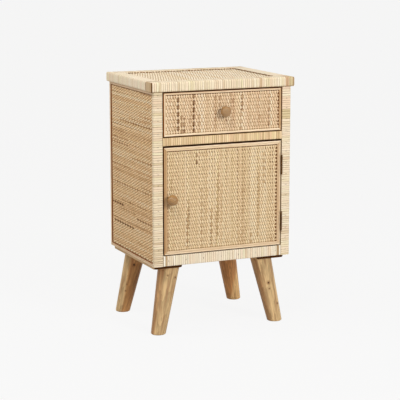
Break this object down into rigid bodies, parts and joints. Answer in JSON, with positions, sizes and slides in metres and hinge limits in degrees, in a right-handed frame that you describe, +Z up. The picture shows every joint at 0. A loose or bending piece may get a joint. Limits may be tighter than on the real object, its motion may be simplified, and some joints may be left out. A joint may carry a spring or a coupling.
{
  "type": "bedside cabinet",
  "caption": "Free-standing side table with a woven rattan body, wrapped rails, a drawer over a hinged cupboard door, and splayed tapered wooden legs.",
  "frame": {"origin": "on the floor, under the centre of the bounding box", "axes": "+Z up, the drawer and door face -Y, +X to the right as seen from the front"},
  "size_m": [0.365, 0.3134, 0.6],
  "materials": {
    "peel_wrap": "rattan peel strips wound over wooden rails, satin",
    "woven_rattan": "plain weave of split rattan strands over rattan stakes, matte",
    "bead_wood": "thin wooden bead, clear satin lacquer",
    "plywood": "bare sanded plywood",
    "frame_wood": "planed softwood inside the cabinet",
    "leg_wood": "turned fir with knots, clear satin lacquer",
    "knob_wood": "turned hardwood, satin",
    "batten_wood": "planed wood with dark end grain, clear satin lacquer",
    "bronze": "dark bronzed, brushed",
    "zinc_steel": "zinc plated",
    "catch_plastic": "moulded brown plastic",
    "magnet": "sintered ferrite"
  },
  "bodies": {
    "cabinet": {"top_front_rail": "peel_wrap", "top_back_rail": "peel_wrap", "top_right_rail": "peel_wrap", "top_left_rail": "peel_wrap", "top_board": "plywood", "top_woven_panel": "woven_rattan", "upper_hinge_frame_leaf": "bronze", "lower_hinge_frame_leaf": "bronze", "hinge_pins": "bronze", "catch_magnet": "magnet", "catch_housing": "catch_plastic", "cabinet_screws": "bronze", "front_left_stile": "peel_wrap", "front_right_stile": "peel_wrap", "mid_rail": "peel_wrap", "bottom_rail": "peel_wrap", "right_side_board": "plywood", "right_woven_panel": "woven_rattan", "right_side_beads": "bead_wood", "rear_right_post": "frame_wood", "left_side_board": "plywood", "left_woven_panel": "woven_rattan", "left_side_beads": "bead_wood", "rear_left_post": "frame_wood", "front_left_leg": "leg_wood", "rear_left_leg": "leg_wood", "front_right_leg": "leg_wood", "rear_right_leg": "leg_wood", "left_leg_batten": "batten_wood", "right_leg_batten": "batten_wood", "leg_bolts": "zinc_steel", "leg_tee_nuts": "zinc_steel", "batten_screws": "zinc_steel", "back_board": "plywood", "floor_board": "plywood", "divider_shelf": "plywood", "right_drawer_runner": "frame_wood", "left_drawer_runner": "frame_wood"},
    "drawer": {"drawer_knob": "knob_wood", "drawer_knob_screw": "zinc_steel", "drawer_woven_panel": "woven_rattan", "drawer_beads": "bead_wood", "drawer_front_board": "plywood", "drawer_right_side": "frame_wood", "drawer_left_side": "frame_wood", "drawer_back": "frame_wood", "drawer_bottom": "plywood"},
    "door": {"door_screws": "bronze", "door_knob": "knob_wood", "door_knob_screw": "zinc_steel", "door_woven_panel": "woven_rattan", "door_beads": "bead_wood", "door_board": "plywood", "upper_hinge_door_leaf": "bronze", "lower_hinge_door_leaf": "bronze", "catch_strike": "zinc_steel"}
  },
  "joints": [
    {"name": "drawer_slide", "type": "slide", "parent": "cabinet", "child": "drawer", "axis": [0, -1, 0], "range_m": [0, 0.19]},
    {"name": "door_swing", "type": "hinge", "parent": "cabinet", "child": "door", "pos_m": [0.152, -0.13325, 0.3223], "axis": [0, 0, 1], "range_deg": [0, 170]}
  ]
}
